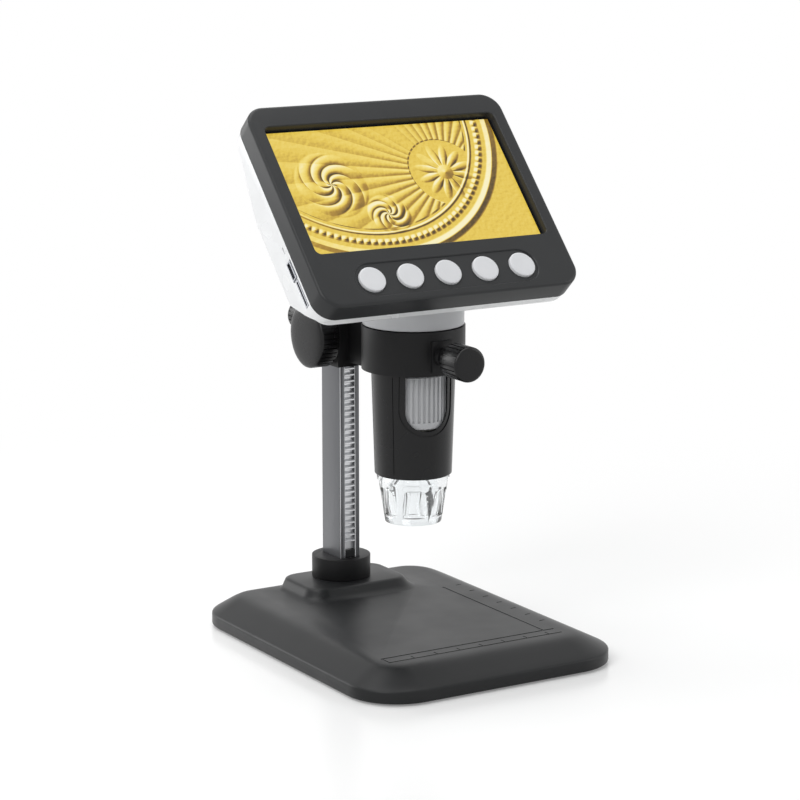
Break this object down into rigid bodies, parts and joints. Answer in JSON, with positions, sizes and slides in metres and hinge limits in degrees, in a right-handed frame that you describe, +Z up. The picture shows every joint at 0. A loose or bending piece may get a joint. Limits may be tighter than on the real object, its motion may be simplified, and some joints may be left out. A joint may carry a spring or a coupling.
{
  "type": "lcd digital microscope",
  "caption": "Desk microscope with a tilted screen head on a barrel, held by a ring on a rack and pinion column with a heavy flat base.",
  "frame": {"origin": "on the ground under the middle of the base", "axes": "+Z up, +Y to the back where the column stands, +X to the right of someone at the screen"},
  "size_m": [0.1126, 0.1533, 0.2096],
  "materials": {
    "black_abs": "satin moulded ABS",
    "bezel_grey": "satin dark grey moulded ABS",
    "black_coat": "black powder coated zinc casting",
    "white_abs": "gloss white moulded ABS",
    "grey_abs": "grey moulded ABS",
    "steel": "zinc plated steel",
    "aluminium": "anodised aluminium",
    "brass": "turned brass",
    "rubber": "moulded rubber",
    "nylon": "moulded nylon",
    "glass": "ground glass",
    "clear": "clear moulded polycarbonate",
    "screen": "screen cover with its lit picture",
    "board": "green circuit board",
    "chips": "moulded component bodies",
    "led": "white light diode",
    "cell": "foil wrapped cell"
  },
  "bodies": {
    "stand": {"base_shell": "black_abs", "floor_plate": "black_abs", "ballast_plate": "steel", "base_pad": "rubber", "floor_screws": "steel", "column": "aluminium", "column_bolt": "steel", "column_collar": "black_coat", "column_cap": "black_abs", "rack_stop": "black_abs", "rack": "steel"},
    "carriage": {"carriage": "black_coat", "carriage_back": "black_coat", "carriage_screws": "steel", "slide_pads": "nylon", "spindle_bushes": "nylon"},
    "pinion_spindle": {"pinion": "brass", "spindle": "steel", "focus_knob_left": "black_abs", "focus_knob_right": "black_abs"},
    "lock_slider": {"lock_tip": "brass"},
    "lock_screw": {"lock_stud": "steel", "lock_knob": "black_abs"},
    "clamp_slider": {"clamp_tip": "brass"},
    "clamp_screw": {"clamp_stud": "steel", "clamp_knob": "black_abs"},
    "scope": {"screen_bezel": "bezel_grey", "rear_shell": "white_abs", "neck": "grey_abs", "screen_glass": "screen", "screen_panel": "chips", "board_spacers": "brass", "main_board": "board", "battery": "cell", "usb_port": "steel", "card_slot": "steel", "button_board": "board", "button_switches": "chips", "shell_screws": "steel", "barrel": "black_abs", "sensor_board": "board", "image_sensor": "chips", "led_board": "board", "leds": "led"},
    "wheel": {"focus_wheel": "aluminium"},
    "lens_slider": {"lens_holder": "nylon", "objective_lens": "glass"},
    "cap": {"clear_cap": "clear"},
    "button_1": {"button_1": "white_abs"},
    "button_2": {"button_2": "white_abs"},
    "button_3": {"button_3": "white_abs"},
    "button_4": {"button_4": "white_abs"},
    "button_5": {"button_5": "white_abs"}
  },
  "joints": [
    {"name": "focus_slide", "type": "slide", "parent": "stand", "child": "carriage", "axis": [0, 0, 1], "range_m": [-0.034, 0.035]},
    {"name": "pinion_spin", "type": "hinge", "parent": "carriage", "child": "pinion_spindle", "pos_m": [0, 0.038, 0.1178], "axis": [1, 0, 0], "range_deg": [-360, 350]},
    {"name": "lock_slide", "type": "slide", "parent": "carriage", "child": "lock_slider", "axis": [0, -1, 0], "range_m": [-0.0007, 0.000233]},
    {"name": "lock_turn", "type": "hinge", "parent": "lock_slider", "child": "lock_screw", "pos_m": [0, 0.07, 0.1178], "axis": [0, -1, 0], "range_deg": [-361, 121]},
    {"name": "clamp_slide", "type": "slide", "parent": "carriage", "child": "clamp_slider", "axis": [0, 1, 0], "range_m": [-0.0007, 0.000233]},
    {"name": "clamp_turn", "type": "hinge", "parent": "clamp_slider", "child": "clamp_screw", "pos_m": [0, -0.04, 0.1178], "axis": [0, 1, 0], "range_deg": [-361, 121]},
    {"name": "scope_swivel", "type": "hinge", "parent": "carriage", "child": "scope", "pos_m": [0, -0.00535, 0.12], "axis": [0, 0, 1], "range_deg": [-20, 20]},
    {"name": "wheel_turn", "type": "hinge", "parent": "scope", "child": "wheel", "pos_m": [0, -0.00535, 0.0988], "axis": [0, 0, 1], "range_deg": [-150, 150]},
    {"name": "lens_slide", "type": "slide", "parent": "scope", "child": "lens_slider", "axis": [0, 0, 1], "range_m": [-0.003, 0.003]},
    {"name": "cap_slide", "type": "slide", "parent": "scope", "child": "cap", "axis": [0, 0, -1], "range_m": [0, 0.003]},
    {"name": "button_1_press", "type": "slide", "parent": "scope", "child": "button_1", "axis": [0, 0.7314, -0.682], "range_m": [0, 0.0007], "stiffness_N_per_m": 800},
    {"name": "button_2_press", "type": "slide", "parent": "scope", "child": "button_2", "axis": [0, 0.7314, -0.682], "range_m": [0, 0.0007], "stiffness_N_per_m": 800},
    {"name": "button_3_press", "type": "slide", "parent": "scope", "child": "button_3", "axis": [0, 0.7314, -0.682], "range_m": [0, 0.0007], "stiffness_N_per_m": 800},
    {"name": "button_4_press", "type": "slide", "parent": "scope", "child": "button_4", "axis": [0, 0.7314, -0.682], "range_m": [0, 0.0007], "stiffness_N_per_m": 800},
    {"name": "button_5_press", "type": "slide", "parent": "scope", "child": "button_5", "axis": [0, 0.7314, -0.682], "range_m": [0, 0.0007], "stiffness_N_per_m": 800}
  ],
  "couplings": [
    {"joint": "pinion_spin", "follows": "focus_slide", "rad_per_m": -178.57},
    {"joint": "lock_turn", "follows": "lock_slide", "rad_per_m": 8976},
    {"joint": "clamp_turn", "follows": "clamp_slide", "rad_per_m": 8976},
    {"joint": "lens_slide", "follows": "wheel_turn", "m_per_rad": 0.001109}
  ]
}
